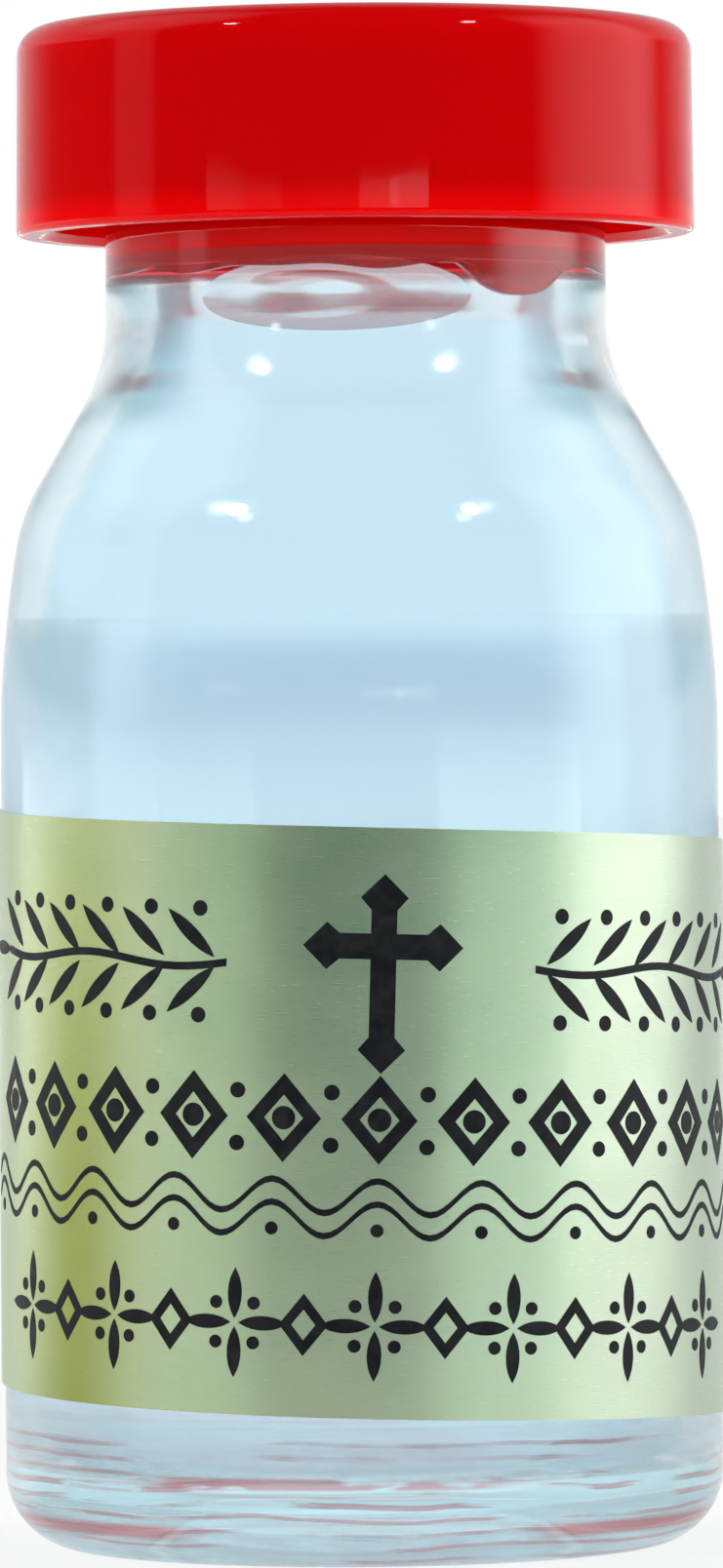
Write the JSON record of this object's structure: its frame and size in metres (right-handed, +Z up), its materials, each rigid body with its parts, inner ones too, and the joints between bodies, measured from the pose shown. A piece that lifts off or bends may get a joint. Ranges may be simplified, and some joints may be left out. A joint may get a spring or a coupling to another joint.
{
  "type": "holy water bottle",
  "caption": "Small round glass vial of water with a sloped shoulder and flanged neck, a red push-in plug cap and a gold foil label wrapped round the body.",
  "frame": {"origin": "centre of the ring that the vial stands on", "axes": "+Z up along the vial's axis, -Y towards the front of the label"},
  "size_m": [0.0228, 0.0227, 0.0476],
  "materials": {
    "clear_glass": "clear polished glass with a faint blue tint",
    "water": "clear still water",
    "gold_foil": "satin gold foil",
    "red_plastic": "glossy red moulded plastic"
  },
  "bodies": {
    "vial": {"glass_vial": "clear_glass", "water_fill": "water", "foil_label": "gold_foil"},
    "cap": {"plug_cap": "red_plastic"}
  },
  "joints": [
    {"name": "cap_lift", "type": "slide", "parent": "vial", "child": "cap", "axis": [0, 0, 1], "range_m": [0, 0.02]}
  ]
}
